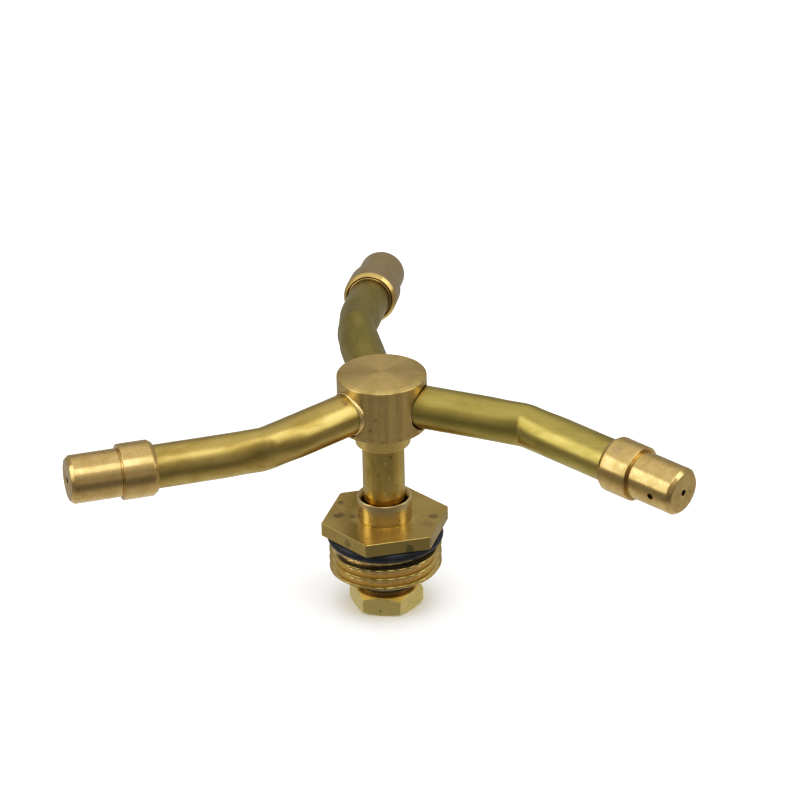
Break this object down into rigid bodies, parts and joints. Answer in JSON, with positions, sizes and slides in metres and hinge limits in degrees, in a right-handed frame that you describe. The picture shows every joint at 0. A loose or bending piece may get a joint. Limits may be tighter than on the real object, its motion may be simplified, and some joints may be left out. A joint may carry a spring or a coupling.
{
  "type": "three-arm rotary sprinkler",
  "caption": "Brass whirling sprinkler: bent hollow arms with capped jet nozzles spin on a hollow spindle in a male-threaded hex bushing.",
  "frame": {"origin": "on the spindle axis at the underside of the hex flange, where the flange seats on the supply fitting", "axes": "+Z along the spindle axis up towards the arms, +X through one corner of the hex flange"},
  "size_m": [0.1079, 0.1057, 0.0481],
  "materials": {
    "brass_turned": "turned brass with fine lathe marks and small dark stains",
    "brass_drawn": "drawn brass tube, satin, olive tarnish",
    "brass_nozzle": "turned brass, paler and pinker, matt",
    "brass_thread": "machined brass thread, bright crests",
    "brass_nut": "hex bar brass, slightly tarnished",
    "solder": "bright brazing filler",
    "black_rubber": "smooth nitrile rubber",
    "white_nylon": "natural nylon"
  },
  "bodies": {
    "base": {"inlet_bushing": "brass_thread", "flange_seal_ring": "black_rubber", "spindle_sleeve": "white_nylon", "spindle_seal_ring": "black_rubber"},
    "thrust_stack": {"thrust_washer_upper": "brass_turned", "thrust_washer_soft": "white_nylon", "thrust_washer_lower": "brass_turned"},
    "rotor": {"rotor_hub": "brass_turned", "arm_tube_1": "brass_drawn", "arm_tube_2": "brass_drawn", "arm_tube_3": "brass_drawn", "arm_solder_ring_1": "solder", "arm_solder_ring_2": "solder", "arm_solder_ring_3": "solder", "nozzle_1": "brass_nozzle", "nozzle_2": "brass_nozzle", "nozzle_3": "brass_nozzle", "nozzle_solder_ring_1": "solder", "nozzle_solder_ring_2": "solder", "nozzle_solder_ring_3": "solder", "spindle_tube": "brass_drawn", "spindle_solder_ring": "solder", "spindle_lock_nut": "brass_nut"}
  },
  "joints": [
    {"name": "rotor_lift", "type": "slide", "parent": "base", "child": "thrust_stack", "axis": [0, 0, 1], "range_m": [-0.0108, 0]},
    {"name": "rotor_spin", "type": "hinge", "parent": "thrust_stack", "child": "rotor", "pos_m": [0, 0, 0], "axis": [0, 0, 1], "continuous": true}
  ]
}
